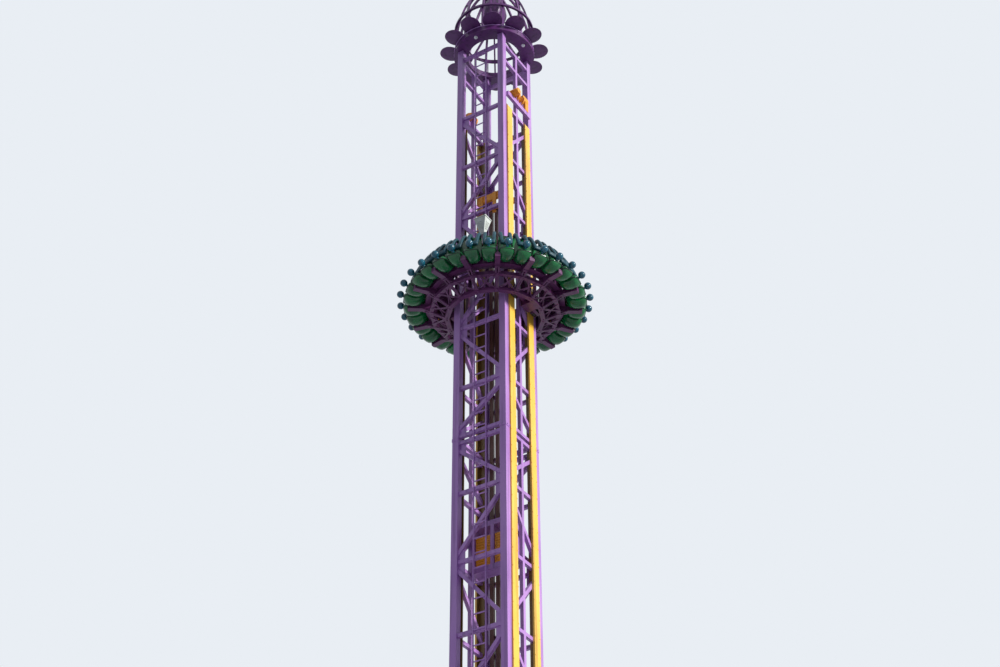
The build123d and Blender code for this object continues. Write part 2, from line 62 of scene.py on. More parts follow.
def addSockets(tree, kind, *names, out=False):
    for name in names:
        tree.interface.new_socket(name, in_out="OUTPUT" if out else "INPUT", socket_type="NodeSocket" + kind)


def addNode(tree, kind, **settings):
    node = tree.nodes.new(kind)
    for key, value in settings.items():
        setattr(node, key, value)
    return node


# another node's socket is linked to this one, and a plain value is set on it
def feed(tree, socket, value):
    if isinstance(value, bpy.types.NodeSocket):
        tree.links.new(value, socket)
    else:
        socket.default_value = value


def compute(tree, operation, *terms):
    step = addNode(tree, "ShaderNodeMath", operation=operation)
    for socket, term in zip(step.inputs, terms):
        feed(tree, socket, term)
    return step.outputs[0]


def makeNoise(tree, vector, scale, detail):
    noise = addNode(tree, "ShaderNodeTexNoise")
    for name, value in (("Vector", vector), ("Scale", scale), ("Detail", detail)):
        feed(tree, noise.inputs[name], value)
    return noise.outputs["Fac"]


def makeRange(tree, value, *limits):
    spread = addNode(tree, "ShaderNodeMapRange")
    for name, limit in zip(("Value", "From Min", "From Max", "To Min", "To Max"), (value, *limits)):
        feed(tree, spread.inputs[name], limit)
    return spread.outputs["Result"]


def makeMix(tree, factor, first, second):
    mix = addNode(tree, "ShaderNodeMix", data_type="RGBA")
    for name, value in (("Factor", factor), ("A", first), ("B", second)):
        feed(tree, mix.inputs[name], value)
    return mix.outputs["Result"]


# a shader group that turns Object coordinates into a colour, a roughness and a height
def startSurface(name, colours, numbers):
    tree = bpy.data.node_groups.new(name, "ShaderNodeTree")
    addSockets(tree, "Color", *colours)
    addSockets(tree, "Float", *numbers)
    addSockets(tree, "Color", "Color", out=True)
    addSockets(tree, "Float", "Roughness", "Height", out=True)
    given = addNode(tree, "NodeGroupInput").outputs
    return tree, given, addNode(tree, "ShaderNodeTexCoord").outputs["Object"]


def endSurface(tree, colour, rough, height):
    result = addNode(tree, "NodeGroupOutput").inputs
    for name, source in (("Color", colour), ("Roughness", rough), ("Height", height)):
        tree.links.new(source, result[name])
    return tree


# weathered paint: patches, streaks that run down, specks and a fine orange peel, as scale and detail of their noise
paintSurface = {"patches": (0.9, 5.0), "streaks": (1.0, 6.0), "stretch": (14.0, 14.0, 0.55), "specks": (55.0, 3.0),
                "peel": (260.0, 2.0),
                "fadeBand": (0.38, 0.62), "streakBand": (0.5, 0.72), "speckBand": (0.66, 0.74), "speckShare": 0.35,
                "roughBand": (0.3, 0.7)}


def makePaintGroup(values):
    tree, given, place = startSurface("weatheredPaint", ("Paint", "Faded", "Grime"),
                                      ("Fade", "Streaks", "Smooth", "Rough"))
    patches = makeNoise(tree, place, *values["patches"])
    fadeMask = makeRange(tree, patches, *values["fadeBand"], 0.0, given["Fade"])
    colour = makeMix(tree, fadeMask, given["Paint"], given["Faded"])
    stretch = addNode(tree, "ShaderNodeMapping")
    feed(tree, stretch.inputs["Scale"], values["stretch"])
    feed(tree, stretch.inputs["Vector"], place)
    runs = makeNoise(tree, stretch.outputs["Vector"], *values["streaks"])
    runMask = makeRange(tree, runs, *values["streakBand"], 0.0, given["Streaks"])
    colour = makeMix(tree, runMask, colour, given["Grime"])
    specks = makeNoise(tree, place, *values["specks"])
    speckMask = makeRange(tree, specks, *values["speckBand"], 0.0, values["speckShare"])
    colour = makeMix(tree, speckMask, colour, given["Grime"])
    rough = makeRange(tree, patches, *values["roughBand"], given["Smooth"], given["Rough"])
    return endSurface(tree, colour, rough, makeNoise(tree, place, *values["peel"]))


# moulded shell or foam: soft mottling, scuffs and a leathery dimple
mouldSurface = {"mottle": (6.0, 4.0), "mottleBand": (0.4, 0.75), "mottleShare": 0.6, "scuff": (38.0, 8.0),
                "scuffBand": (0.6, 0.72), "roughBand": (0.35, 0.7), "dimpleDetail": 2.0}


def makeMouldGroup(values):
    tree, given, place = startSurface("mouldedSkin", ("Skin", "Pale"), ("Scuffs", "Dimple Scale", "Smooth", "Rough"))
    mottle = makeNoise(tree, place, *values["mottle"])
    paleMask = makeRange(tree, mottle, *values["mottleBand"], 0.0, values["mottleShare"])
    colour = makeMix(tree, paleMask, given["Skin"], given["Pale"])
    scuff = makeNoise(tree, place, *values["scuff"])
    scuffMask = makeRange(tree, scuff, *values["scuffBand"], 0.0, given["Scuffs"])
    colour = makeMix(tree, scuffMask, colour, given["Pale"])
    rough = makeRange(tree, scuff, *values["roughBand"], given["Smooth"], given["Rough"])
    return endSurface(tree, colour, rough, makeNoise(tree, place, given["Dimple Scale"], values["dimpleDetail"]))


paintGroup = makePaintGroup(paintSurface)
mouldGroup = makeMouldGroup(mouldSurface)
bumpStrength = 0.25


def makeMaterial(name, group, values, shaderValues, bumpDepth):
    material = bpy.data.materials.new(name)
    material.use_nodes = True
    tree = material.node_tree
    shader = tree.nodes["Principled BSDF"]
    for key, value in shaderValues.items():
        shader.inputs[key].default_value = value
    surface = addNode(tree, "ShaderNodeGroup", node_tree=group)
    for key, value in values.items():
        surface.inputs[key].default_value = fromHex(value) if isinstance(value, str) else value
    bump = addNode(tree, "ShaderNodeBump")
    bump.inputs["Strength"].default_value = bumpStrength
    bump.inputs["Distance"].default_value = bumpDepth
    tree.links.new(surface.outputs["Height"], bump.inputs["Height"])
    tree.links.new(surface.outputs["Color"], shader.inputs["Base Color"])
    tree.links.new(surface.outputs["Roughness"], shader.inputs["Roughness"])
    tree.links.new(bump.outputs["Normal"], shader.inputs["Normal"])
    return material


paints = {
    "towerPurple": {"Paint": "#a877bb", "Faded": "#c094cc", "Grime": "#644278", "Fade": 0.6, "Streaks": 0.6},
    "crownPurple": {"Paint": "#54225f", "Faded": "#6a3475", "Grime": "#2c0d34", "Fade": 0.6, "Streaks": 0.6},
    "rideMaroon": {"Paint": "#552350", "Faded": "#6b3566", "Grime": "#2a0d28", "Fade": 0.6, "Streaks": 0.6},
    "railYellow": {"Paint": "#efb93c", "Faded": "#f7d168", "Grime": "#94641a", "Fade": 0.5, "Streaks": 0.6},
    # the duct colour below is painted shade: a dark brown that stands for the ducts' yellow paint in the shade inside
    # the tower
    "ductShadeBrown": {"Paint": "#5c3c2c", "Faded": "#765240", "Grime": "#38231a", "Fade": 0.5, "Streaks": 0.5},
    "hoistOrange": {"Paint": "#f09714", "Faded": "#f4b040", "Grime": "#9a560e", "Fade": 0.4, "Streaks": 0.4},
    "cabinetGrey": {"Paint": "#c9cfc4", "Faded": "#dde1da", "Grime": "#8d948a", "Fade": 0.5, "Streaks": 0.4},
}
moulds = {
    "seatGreen": {"Skin": "#06522a", "Pale": "#0f8440", "Scuffs": 0.3,
                  "Dimple Scale": 120.0, "Smooth": 0.16, "Rough": 0.34},
    "pommelTeal": {"Skin": "#0f4c5e", "Pale": "#227085", "Scuffs": 0.25,
                   "Dimple Scale": 120.0, "Smooth": 0.16, "Rough": 0.34},
    "restraintBlue": {"Skin": "#103c46", "Pale": "#215a66", "Scuffs": 0.4,
                      "Dimple Scale": 420.0, "Smooth": 0.42, "Rough": 0.62},
    "lampPale": {"Skin": "#e8ebe8", "Pale": "#f6f7f4", "Scuffs": 0.2,
                 "Dimple Scale": 90.0, "Smooth": 0.12, "Rough": 0.25},
    "trayDark": {"Skin": "#1d2226", "Pale": "#343c42", "Scuffs": 0.4,
                 "Dimple Scale": 260.0, "Smooth": 0.35, "Rough": 0.6},
    "rollerTyre": {"Skin": "#26221f", "Pale": "#46403a", "Scuffs": 0.5,
                   "Dimple Scale": 300.0, "Smooth": 0.5, "Rough": 0.75},
}
# values on the shaders' own sockets, with the depth of each finish's bump
paintShader = {"Metallic": 0.0, "Specular IOR Level": 0.5}
mouldShader = {"Metallic": 0.0, "Coat Weight": 0.0, "Coat Roughness": 0.12, "Specular IOR Level": 0.35}
glossyMoulds, glossyCoat = ("seatGreen", "pommelTeal"), 0.2
paintGloss = {"Smooth": 0.3, "Rough": 0.5}
paintBump, mouldBump = 0.0006, 0.0008
finishes = {}
for name, values in paints.items():
    finishes[name] = makeMaterial(name, paintGroup, {**values, **paintGloss}, paintShader, paintBump)
for name, values in moulds.items():
    shaderValues = {**mouldShader, "Coat Weight": glossyCoat} if name in glossyMoulds else mouldShader
    finishes[name] = makeMaterial(name, mouldGroup, values, shaderValues, mouldBump)


# painted shade: the rails' webs and backs, inside the running flanges, are painted a dark brown for the shade that
# falls between the flanges, and only the running flanges stay yellow
railWebShade = {"colour": "#5f4420", "inner": 0.4905, "outer": 0.498, "share": 0.9}


def addWebShade(material, values):
    tree = material.node_tree
    surface = [node for node in tree.nodes if node.type == "GROUP"][0]
    across = addNode(tree, "ShaderNodeSeparateXYZ")
    tree.links.new(addNode(tree, "ShaderNodeTexCoord").outputs["Object"], across.inputs[0])
    reach = compute(tree, "ABSOLUTE", across.outputs["X"])
    # painted shade: dark brown is mixed into the yellow wherever the reach across X falls inside the flanges
    mask = makeRange(tree, reach, values["inner"], values["outer"], values["share"], 0.0)
    mixed = makeMix(tree, mask, surface.outputs["Color"], fromHex(values["colour"]))
    tree.links.new(mixed, tree.nodes["Principled BSDF"].inputs["Base Color"])


addWebShade(finishes["railYellow"], railWebShade)

slotFinish = {"purple_paint": "towerPurple", "crown_paint": "crownPurple", "rail_paint": "railYellow",
              "orange_paint": "hoistOrange", "seat_shell": "seatGreen", "pommel_shell": "pommelTeal",
              "restraint_foam": "restraintBlue", "roller_tyre": "rollerTyre", "housing_paint": "cabinetGrey"}
rideSteel = ("outer_ring", "inner_ring", "ring_struts", "seat_arms", "carriage_posts", "carriage_brackets",
             "roller_yokes", "housing_post", "back_ring", "back_panels", "deck_plates", "deck_posts", "ring_braces")
crownSteel = ("guard_rail", "core_legs", "cage_ribs", "cage_hoops", "finial")
nodeFinish = {node: "rideMaroon" for node in rideSteel}
nodeFinish.update({node: "crownPurple" for node in crownSteel})
# painted shade: the cable ducts, yellow like the rails, are painted dark brown for the shade inside the tower
nodeFinish["cable_ducts"] = "ductShadeBrown"
for part in frame["record"]["subparts"]:
    finish = nodeFinish.get(part["node"], slotFinish[part["material_slot"]])
    mesh = nodes[part["node"]].data
    mesh.materials.clear()
    mesh.materials.append(finishes[finish])
print("materials set:", len(finishes))


# helpers for mesh pieces: lists of points and faces become one cleaned mesh
def newShape():
    return [], []


def loft(shape, rings, closed=False):
    points, faces = shape
    start, count = len(points), len(rings[0])
    for ring in rings:
        points.extend(ring)
    for i in range(len(rings) if closed else len(rings) - 1):
        near = start + i * count
        far = start + (i + 1) % len(rings) * count
        for j in range(count):
            k = (j + 1) % count
            faces.append((near + j, near + k, far + k, far + j))
    if not closed:
        faces.append(tuple(range(start, start + count)))
        faces.append(tuple(range(start + (len(rings) - 1) * count, start + len(rings) * count)))


def lathe(shape, profile, sides, matrix):
    rings = []
    for radius, height in profile:
        turns = [2 * pi * j / sides for j in range(sides)]
        rings.append([tuple(matrix @ Vector((radius * cos(t), radius * sin(t), height))) for t in turns])
    loft(shape, rings)


# a closed outline between an ellipse, at power 2, and a box with rounded corners, at a high power
def roundSection(halfWidth, halfDepth, power, count):
    section = []
    for j in range(count):
        c, s = cos(2 * pi * j / count), sin(2 * pi * j / count)
        section.append((halfWidth * copysign(abs(c) ** (2 / power), c),
                        halfDepth * copysign(abs(s) ** (2 / power), s)))
    return section


def tube(shape, path, radii, sides, closed=False):
    rings = []
    for i, point in enumerate(path):
        before = path[i - 1] if closed or i else point
        after = path[(i + 1) % len(path)] if closed or i < len(path) - 1 else point
        turn = (Vector(after) - Vector(before)).to_track_quat("Z", "Y")
        section = roundSection(radii[i], radii[i], 2.0, sides)
        rings.append([tuple(Vector(point) + turn @ Vector((x, y, 0))) for x, y in section])
    loft(shape, rings, closed)


weldReach = 0.00002  # points nearer than this become one


def makePiece(name, shape, finish, sharp=38.0):
    build = bmesh.new()
    corners = [build.verts.new(point) for point in shape[0]]
    for face in shape[1]:
        build.faces.new([corners[i] for i in face])
    bmesh.ops.remove_doubles(build, verts=build.verts, dist=weldReach)
    bmesh.ops.recalc_face_normals(build, faces=build.faces)
    mesh = bpy.data.meshes.new(name)
    build.to_mesh(mesh)
    build.free()
    mesh.shade_smooth()
    mesh.set_sharp_from_angle(angle=radians(sharp))
    mesh.materials.append(finishes[finish])
    piece = bpy.data.objects.new(name, mesh)
    scene.collection.objects.link(piece)
    return piece


def settle(piece, body, slotName, *replaced):
    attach(piece, body)
    if replaced:
        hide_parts(*replaced)


def turnAboutZ(tree, angle):
    axis, rotation = addNode(tree, "ShaderNodeCombineXYZ"), addNode(tree, "FunctionNodeEulerToRotation")
    tree.links.new(angle, axis.inputs["Z"])
    tree.links.new(axis.outputs[0], rotation.inputs["Euler"])
    return rotation.outputs[0]


# copies on points, made real and given the finish
def finishCopies(tree, given, points, instance, rotation):
    copies = addNode(tree, "GeometryNodeInstanceOnPoints")
    realize = addNode(tree, "GeometryNodeRealizeInstances")
    paint = addNode(tree, "GeometryNodeSetMaterial")
    for name, source in (("Points", points), ("Instance", instance), ("Rotation", rotation)):
        tree.links.new(source, copies.inputs[name])
    tree.links.new(copies.outputs[0], realize.inputs[0])
    tree.links.new(realize.outputs[0], paint.inputs["Geometry"])
    tree.links.new(given["Finish"], paint.inputs["Material"])
    tree.links.new(paint.outputs[0], addNode(tree, "NodeGroupOutput").inputs["Geometry"])
    return tree


# copies of the piece's own mesh, evenly turned about the tower's axis
def makeRingTree():
    tree = bpy.data.node_groups.new("ringCopies", "GeometryNodeTree")
    addSockets(tree, "Geometry", "Template")
    addSockets(tree, "Int", "Count")
    addSockets(tree, "Float", "Start")
    addSockets(tree, "Material", "Finish")
    addSockets(tree, "Geometry", "Geometry", out=True)
    given = addNode(tree, "NodeGroupInput").outputs
    points = addNode(tree, "GeometryNodePoints")
    tree.links.new(given["Count"], points.inputs["Count"])
    step = compute(tree, "DIVIDE", 2 * pi, given["Count"])
    turn = compute(tree, "MULTIPLY_ADD", addNode(tree, "GeometryNodeInputIndex").outputs[0], step, given["Start"])
    return finishCopies(tree, given, points.outputs[0], given["Template"], turnAboutZ(tree, turn))


# a hexagon head on a washer at every point, turned to its "facing" direction
def makeBoltTree():
    tree = bpy.data.node_groups.new("boltField", "GeometryNodeTree")
    addSockets(tree, "Geometry", "Points")
    addSockets(tree, "Float", "Head Radius", "Head Height", "Washer Radius", "Washer Height")
    addSockets(tree, "Int", "Seed")
    addSockets(tree, "Material", "Finish")
    addSockets(tree, "Geometry", "Geometry", out=True)
    given = addNode(tree, "NodeGroupInput").outputs
    link = tree.links.new
    joined = addNode(tree, "GeometryNodeJoinGeometry")
    for part, sides, under in (("Head", 6, given["Washer Height"]), ("Washer", 12, 0.0)):
        drum = addNode(tree, "GeometryNodeMeshCylinder", fill_type="NGON")
        tall = given[part + " Height"]
        for name, value in (("Vertices", sides), ("Radius", given[part + " Radius"]), ("Depth", tall)):
            feed(tree, drum.inputs[name], value)
        place, moved = addNode(tree, "ShaderNodeCombineXYZ"), addNode(tree, "GeometryNodeTransform")
        link(compute(tree, "MULTIPLY_ADD", tall, 0.5, under), place.inputs["Z"])
        link(drum.outputs["Mesh"], moved.inputs["Geometry"])
        link(place.outputs[0], moved.inputs["Translation"])
        link(moved.outputs[0], joined.inputs[0])
    facing = addNode(tree, "GeometryNodeInputNamedAttribute", data_type="FLOAT_VECTOR")
    facing.inputs["Name"].default_value = "facing"
    align = addNode(tree, "FunctionNodeAlignRotationToVector", axis="Z")
    link(facing.outputs["Attribute"], align.inputs["Vector"])
    roll = addNode(tree, "FunctionNodeRandomValue", data_type="FLOAT")
    rollRange = [socket for socket in roll.inputs if socket.name == "Max" and socket.type == "VALUE"]
    rollRange[0].default_value = 2 * pi
    link(given["Seed"], roll.inputs["Seed"])
    rollOut = [socket for socket in roll.outputs if socket.type == "VALUE"]
    both = addNode(tree, "FunctionNodeRotateRotation", rotation_space="LOCAL")
    link(align.outputs[0], both.inputs["Rotation"])
    link(turnAboutZ(tree, rollOut[0]), both.inputs["Rotate By"])
    return finishCopies(tree, given, given["Points"], joined.outputs[0], both.outputs[0])


def applyTree(piece, tree, values):
    modifier = piece.modifiers.new(tree.name, "NODES")
    modifier.node_group = tree
    for item in tree.interface.items_tree:
        if item.in_out == "INPUT" and item.name in values:
            modifier[item.identifier] = values[item.name]
    evaluated = piece.evaluated_get(bpy.context.evaluated_depsgraph_get())
    mesh = bpy.data.meshes.new_from_object(evaluated)
    piece.modifiers.clear()
    template = piece.data
    piece.data = mesh
    bpy.data.meshes.remove(template)
    mesh.name = piece.name


ringTree = makeRingTree()
boltTree = makeBoltTree()


def ringPiece(name, shape, finish, count, start, body, slotName, *replaced):
    piece = makePiece(name, shape, finish)
    applyTree(piece, ringTree, {"Count": count, "Start": radians(start), "Finish": finishes[finish]})
    settle(piece, body, slotName, *replaced)
    return piece


# shares of the head's radius
boltShares = {"Head Radius": 1.0, "Head Height": 0.8, "Washer Radius": 1.5, "Washer Height": 0.3}


def boltPiece(name, spots, finish, body, slotName, heads):
    mesh = bpy.data.meshes.new(name)
    mesh.from_pydata([spot for spot, facing in spots], [], [])
    facings = mesh.attributes.new("facing", "FLOAT_VECTOR", "POINT")
    for i, (spot, facing) in enumerate(spots):
        facings.data[i].vector = facing
    piece = bpy.data.objects.new(name, mesh)
    scene.collection.objects.link(piece)
    sizes = {key: heads[name] * share for key, share in boltShares.items()}
    applyTree(piece, boltTree, {**sizes, "Seed": 7, "Finish": finishes[finish]})
    settle(piece, body, slotName)


def polar(radius, turn, height):
    return (radius * cos(radians(turn)), radius * sin(radians(turn)), height)


def ringTube(shape, reach, level, radius, steps, sides):
    path = [polar(reach, 360 * i / steps, level) for i in range(steps)]
    tube(shape, path, [radius] * steps, sides, closed=True)


# seats: a moulded shell from the top of the back to a rounded hull below
# each row of the shell: reach, level, tilt, half width, depth above and below, dish
seat = {"count": 32, "start": 5.625, "points": 32, "squareness": 3.6,
        "wing": 0.018, "wingStart": 0.55, "wingFall": 0.2,
        "shell": ((1.190, 18.277, 5, 0.062, 0.012, 0.012, 0.0), (1.191, 18.264, 5, 0.088, 0.025, 0.025, 0.0),
                  (1.195, 18.220, 5, 0.104, 0.031, 0.031, 0.004), (1.207, 18.060, 5, 0.109, 0.032, 0.032, 0.008),
                  (1.221, 17.900, 5, 0.109, 0.032, 0.032, 0.008), (1.231, 17.818, 14, 0.109, 0.031, 0.034, 0.006),
                  (1.247, 17.774, 40, 0.110, 0.028, 0.048, 0.004), (1.284, 17.744, 74, 0.112, 0.024, 0.082, 0.005),
                  (1.330, 17.738, 90, 0.116, 0.022, 0.106, 0.009), (1.390, 17.737, 90, 0.121, 0.022, 0.116, 0.012),
                  (1.450, 17.737, 90, 0.125, 0.022, 0.112, 0.012), (1.500, 17.738, 90, 0.124, 0.022, 0.094, 0.009),
                  (1.535, 17.740, 90, 0.114, 0.020, 0.062, 0.005), (1.552, 17.741, 90, 0.092, 0.015, 0.034, 0.002),
                  (1.559, 17.742, 90, 0.060, 0.007, 0.012, 0.0)),
        "hullRound": 2.1, "hullTilt": 30, "trimLevel": 17.7235, "trimRadius": 0.006, "trimSides": 8,
        "trim": ((1.300, 0.116), (1.390, 0.124), (1.450, 0.1275), (1.500, 0.1265), (1.537, 0.115), (1.556, 0.090))}


def makeSeats(values):
    shell = newShape()
    rings = []
    wingStart = values["wingStart"]
    for reach, height, tilt, halfWidth, above, below, dish in values["shell"]:
        ring = []
        lowerPower = values["hullRound"] if tilt > values["hullTilt"] else values["squareness"]
        upper = roundSection(halfWidth, above, values["squareness"], values["points"])
        lower = roundSection(halfWidth, below, lowerPower, values["points"])
        for (y, depth), (yLow, low) in zip(upper, lower):
            side = abs(y) / halfWidth
            if depth > 0:
                lift = values["wing"] * max(0.0, (side - wingStart) / (1 - wingStart)) ** 2 if dish else 0.0
                depth += lift * (1 - depth / above * values["wingFall"]) - dish * (1 - side ** 2)
            else:
                y, depth = yLow, low
            ring.append((reach + cos(radians(tilt)) * depth, y, height + sin(radians(tilt)) * depth))
        rings.append(ring)
    loft(shell, rings)
    ringPiece("seatShells", shell, "seatGreen", values["count"], values["start"], "ride", "seat_shell",
              "seat_pans", "seat_backs")
    trim = newShape()  # a dark bumper strip round the hull's edge
    rows = ((-1, values["trim"]), (1, values["trim"][::-1]))
    outline = [(reach, side * half, values["trimLevel"]) for side, row in rows for reach, half in row]
    tube(trim, outline, [values["trimRadius"]] * len(outline), values["trimSides"])
    ringPiece("seatTrims", trim, "trayDark", values["count"], values["start"], "ride", "seat_shell")


# pommels: a ball with a parting line, on a stem with a collar at its foot
pommel = {"reach": 1.613, "level": 17.82, "radius": 0.062, "pole": 0.0005, "bands": 16, "sides": 24,
          "parting": ((0.999, -0.0045), (0.965, -0.0015), (0.965, 0.0015), (0.999, 0.0045)),  # share of radius, height
          "stemFoot": (1.515, 0.0, 17.758), "stemRadius": 0.022, "stemSides": 16,
          "collar": ((1.5, -0.004), (1.5, 0.008), (1.3, 0.014), (1.0, 0.018)),  # share of the stem, from its foot
          "cup": ((1.0, -0.060), (1.25, -0.056), (1.25, -0.045))}  # share of the stem, from the ball's middle


def makePommels(values):
    shape = newShape()
    radius = values["radius"]
    profile = []
    bands = values["bands"]
    for i in range(bands + 1):
        turn = -pi / 2 + pi * i / bands
        profile.append((max(radius * cos(turn), values["pole"]), radius * sin(turn)))
    profile[bands // 2:bands // 2 + 1] = [(radius * share, height) for share, height in values["parting"]]
    head = Vector((values["reach"], 0, values["level"]))
    foot = Vector(values["stemFoot"])
    lean = (head - foot).to_track_quat("Z", "Y").to_matrix().to_4x4()
    lathe(shape, profile, values["sides"], Matrix.Translation(head) @ lean)
    length = (head - foot).length
    stem = values["stemRadius"]
    profile = [(stem * share, height) for share, height in values["collar"]]
    profile += [(stem * share, length + height) for share, height in values["cup"]]
    lathe(shape, profile, values["stemSides"], Matrix.Translation(foot) @ lean)
    ringPiece("pommelBalls", shape, "pommelTeal", seat["count"], seat["start"], "ride", "pommel_shell", "pommels")


# restraints: two foam-skinned bars from the top of the back and a chest pad across them
restraint = {"spread": 0.078, "halfAcross": 0.030, "halfDeep": 0.031, "barRound": 2.8, "barPoints": 14,
             "path": ((1.212, 18.232, 0.5), (1.222, 18.256, 0.85), (1.252, 18.268, 1.0), (1.292, 18.248, 1.0),
                      (1.334, 18.192, 1.0), (1.378, 18.112, 1.0), (1.414, 18.040, 1.0), (1.440, 17.976, 1.0),
                      (1.446, 17.956, 0.8)),
             "padReach": 1.445, "padLevel": 17.940, "padHalf": (0.037, 0.100, 0.042), "padRound": 3.2, "padPoints": 18,
             "padSteps": ((-1.0, 0.45), (-0.95, 0.74), (-0.82, 0.94), (-0.5, 1.0), (-0.06, 0.98), (-0.03, 0.91),
                          (0.03, 0.91), (0.06, 0.98), (0.5, 1.0), (0.82, 0.94), (0.95, 0.74), (1.0, 0.45))}


def makeRestraints(values):
    shape = newShape()
    path = values["path"]
    for side in (-1, 1):
        rings = []
        for i, (reach, height, size) in enumerate(path):
            before, after = path[max(i - 1, 0)], path[min(i + 1, len(path) - 1)]
            along = Vector((after[0] - before[0], 0, after[1] - before[1])).normalized()
            out = along.cross(Vector((0, 1, 0)))
            ring = []
            section = roundSection(values["halfAcross"] * size, values["halfDeep"] * size, values["barRound"],
                                   values["barPoints"])
            for across, deep in section:
                ring.append((reach + out.x * deep, side * values["spread"] + across, height + out.z * deep))
            rings.append(ring)
        loft(shape, rings)
    ringPiece("shoulderRestraints", shape, "restraintBlue", seat["count"], seat["start"], "ride", "restraint_foam",
              "shoulder_bars")
    pad = newShape()
    halfDeep, halfWide, halfTall = values["padHalf"]
    rings = []
    for step, size in values["padSteps"]:
        section = roundSection(halfDeep * size, halfTall * size, values["padRound"], values["padPoints"])
        rings.append([(values["padReach"] + x, step * halfWide, values["padLevel"] + z) for x, z in section])
    loft(pad, rings)
    piece = ringPiece("chestPads", pad, "restraintBlue", seat["count"], seat["start"], "ride", "restraint_foam",
                      "chest_pads")


# rollers and sheaves: turned wheels with hubs and axle ends, lying along Y
wheels = {"rollerX": 0.5653, "railSpread": 0.305, "rollerLevels": (17.535, 18.58), "rollerSides": 32,
          "roller": ((0.006, -0.050), (0.022, -0.050), (0.024, -0.044), (0.033, -0.043), (0.038, -0.040),
                     (0.040, -0.034), (0.040, 0.034), (0.038, 0.040), (0.033, 0.043), (0.024, 0.044), (0.022, 0.050),
                     (0.006, 0.050)),
          "sheaveX": 0.518, "sheaveSpread": 0.075, "sheaveLevel": 22.347, "sheaveSides": 40,
          "cheekOffsets": (-0.041, 0.041), "cheekSides": 32,
          "cheek": ((0.004, -0.003), (0.070, -0.003), (0.076, 0.0), (0.070, 0.003), (0.030, 0.003), (0.026, 0.009),
                    (0.004, 0.009)),
          "sheave": ((0.004, -0.027), (0.014, -0.027), (0.014, -0.015), (0.030, -0.015), (0.034, -0.008),
                     (0.080, -0.007), (0.086, -0.015), (0.099, -0.015), (0.100, -0.012), (0.090, -0.004), (0.089, 0.0),
                     (0.090, 0.004),
                     (0.100, 0.012), (0.099, 0.015), (0.086, 0.015), (0.080, 0.007), (0.034, 0.008), (0.030, 0.015),
                     (0.014, 0.015), (0.014, 0.027), (0.004, 0.027))}


def makeWheels(values):
    lying = Matrix.Rotation(-pi / 2, 4, "X")
    rollers, sheaves = newShape(), newShape()
    for x in (-1, 1):
        for y in (-1, 1):
            for level in values["rollerLevels"]:
                spot = (x * values["rollerX"], y * values["railSpread"], level)
                lathe(rollers, values["roller"], values["rollerSides"], Matrix.Translation(spot) @ lying)
            spot = (x * values["sheaveX"], y * values["sheaveSpread"], values["sheaveLevel"])
            lathe(sheaves, values["sheave"], values["sheaveSides"], Matrix.Translation(spot) @ lying)
            for offset in values["cheekOffsets"]:
                cover = Matrix.Translation((spot[0], spot[1] + offset, spot[2])) @ lying
                outward = cover if offset > 0 else cover @ Matrix.Rotation(pi, 4, "X")
                lathe(sheaves, values["cheek"], values["cheekSides"], outward)
    settle(makePiece("guideRollers", rollers, "rollerTyre"), "ride", "roller_tyre", "rollers")
    settle(makePiece("hoistSheaves", sheaves, "hoistOrange"), "tower", "orange_paint", "sheaves")


# crown: dished petals, a lobed bud, a bead round the ring's top edge in the paler tower paint as a painted highlight
# on the lit rim, and lamps under the ring
crown = {"ringTop": 23.825, "ringRadius": 0.763, "petals": 12, "petalRoot": 0.633, "petalTip": 1.037,
         "petalHalf": 0.185, "petalTilt": 6.5, "petalThick": 0.013, "petalCurl": 0.010, "petalRidge": 0.004,
         "ridgeFall": 5, "petalEnd": 0.004, "petalSteps": 16, "petalColumns": 8,
         "petalFoot": (0.018, 0.065, 0.126, 0.130), "petalFootHalf": 0.030, "petalFootLow": 0.003,
         "petalFootRise": 0.002, "petalFootRound": 8.0, "petalFootPoints": 16,
         "budFoot": 24.585, "lobes": 8, "lobeDepth": 0.09, "lobeRise": 0.1, "budPoints": 96, "budSharp": 50.0,
         "bud": ((0.010, 0.0), (0.118, 0.0), (0.124, 0.02), (0.112, 0.04), (0.160, 0.10), (0.212, 0.18), (0.243, 0.26),
                 (0.250, 0.32), (0.238, 0.42), (0.208, 0.53), (0.165, 0.64), (0.118, 0.74), (0.080, 0.81),
                 (0.062, 0.84), (0.030, 0.85)),
         "beadRadius": 0.010, "beadSteps": 96, "beadSides": 10,
         "lampTurns": (-90.0, 0.0, 90.0, 180.0), "lampReach": 0.65, "lampTop": 23.702, "lampSides": 28,
         "lamp": ((0.004, 0.0), (0.034, 0.0), (0.038, -0.008), (0.034, -0.016), (0.030, -0.018), (0.030, -0.024),
                  (0.022, -0.034), (0.010, -0.039), (0.002, -0.040))}


